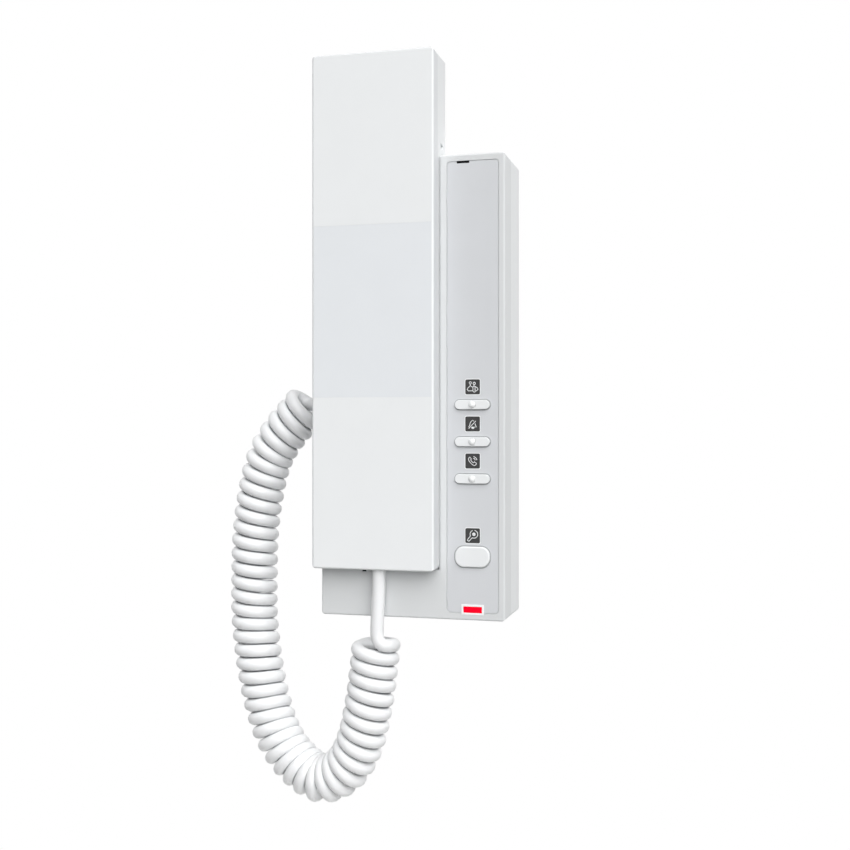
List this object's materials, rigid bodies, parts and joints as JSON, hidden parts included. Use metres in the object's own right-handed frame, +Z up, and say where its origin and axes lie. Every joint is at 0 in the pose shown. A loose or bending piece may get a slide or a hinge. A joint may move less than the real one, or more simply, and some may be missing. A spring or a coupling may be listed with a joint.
{
  "type": "audio intercom handset",
  "caption": "Wall audio intercom: slim base with a key column and status window, a flat lift-off handset in a cradle, and a curly cord looped from base to handset.",
  "frame": {"origin": "on the wall plane, midway between the two wall screw holes, at the centre of the base", "axes": "+X to the right of someone facing the unit, +Y into the wall, +Z up; the front faces -Y"},
  "size_m": [0.1235, 0.038, 0.305],
  "materials": {
    "shell_abs": "satin off-white moulded plastic",
    "band_abs": "satin pale blue-grey inlay",
    "panel_abs": "fine matt light grey",
    "key_abs": "satin white",
    "lens_clear": "clear polished lens",
    "icon_dark": "dark grey matt",
    "window_red": "clear red",
    "zinc_steel": "zinc plated",
    "receiver_steel": "drawn can",
    "board_laminate": "green solder mask",
    "dark_plastic": "black moulded",
    "plunger_plastic": "moulded",
    "led_resin": "pale resin",
    "terminal_green": "moulded green",
    "connector_white": "moulded white",
    "ribbon_grey": "flat cable sheath",
    "reed_glass": "green tinted glass",
    "rubber_grey": "matt",
    "magnet_nickel": "nickel plated",
    "cord_pvc": "soft white sheath"
  },
  "bodies": {
    "base": {"wall_plate": "zinc_steel", "rear_housing": "shell_abs", "front_cover": "shell_abs", "cover_screws": "zinc_steel", "locking_screw": "zinc_steel", "control_panel": "panel_abs", "icon_tiles": "icon_dark", "status_bezel": "key_abs", "status_window": "window_red", "key_board": "board_laminate", "key_board_screws": "zinc_steel", "key_switches": "dark_plastic", "key_leds": "led_resin", "status_led": "led_resin", "main_board": "board_laminate", "main_board_screws": "zinc_steel", "board_parts": "dark_plastic", "terminal_block": "terminal_green", "terminal_screws": "zinc_steel", "ribbon_connectors": "connector_white", "ribbon_cable": "ribbon_grey", "reed_switch": "reed_glass", "cord_socket": "connector_white", "ringer_speaker": "dark_plastic", "ringer_gasket": "rubber_grey", "cradle_pads": "rubber_grey", "base_cord_gland": "cord_pvc", "cord_lead_base": "cord_pvc", "cord_coil": "cord_pvc"},
    "handset": {"handset_front_shell": "shell_abs", "handset_band": "band_abs", "handset_rear_shell": "shell_abs", "handset_screws": "zinc_steel", "earpiece_grille": "dark_plastic", "earpiece_gasket": "rubber_grey", "earpiece_receiver": "receiver_steel", "microphone_boot": "rubber_grey", "microphone_capsule": "receiver_steel", "handset_weight": "zinc_steel", "handset_magnet": "magnet_nickel", "handset_board": "board_laminate", "handset_cord_gland": "cord_pvc", "cord_lead_handset": "cord_pvc"},
    "guard_button": {"guard_key": "key_abs", "guard_lens": "lens_clear", "guard_plunger": "plunger_plastic"},
    "mute_button": {"mute_key": "key_abs", "mute_lens": "lens_clear", "mute_plunger": "plunger_plastic"},
    "call_button": {"call_key": "key_abs", "call_lens": "lens_clear", "call_plunger": "plunger_plastic"},
    "unlock_button": {"unlock_key": "key_abs", "unlock_plunger": "plunger_plastic"}
  },
  "joints": [
    {"name": "handset_lift", "type": "slide", "parent": "base", "child": "handset", "axis": [0, -0.9397, 0.342], "range_m": [0, 0.07]},
    {"name": "guard_press", "type": "slide", "parent": "base", "child": "guard_button", "axis": [0, 1, 0], "range_m": [0, 0.0007], "stiffness_N_per_m": 1500},
    {"name": "mute_press", "type": "slide", "parent": "base", "child": "mute_button", "axis": [0, 1, 0], "range_m": [0, 0.0007], "stiffness_N_per_m": 1500},
    {"name": "call_press", "type": "slide", "parent": "base", "child": "call_button", "axis": [0, 1, 0], "range_m": [0, 0.0007], "stiffness_N_per_m": 1500},
    {"name": "unlock_press", "type": "slide", "parent": "base", "child": "unlock_button", "axis": [0, 1, 0], "range_m": [0, 0.0007], "stiffness_N_per_m": 1500}
  ]
}
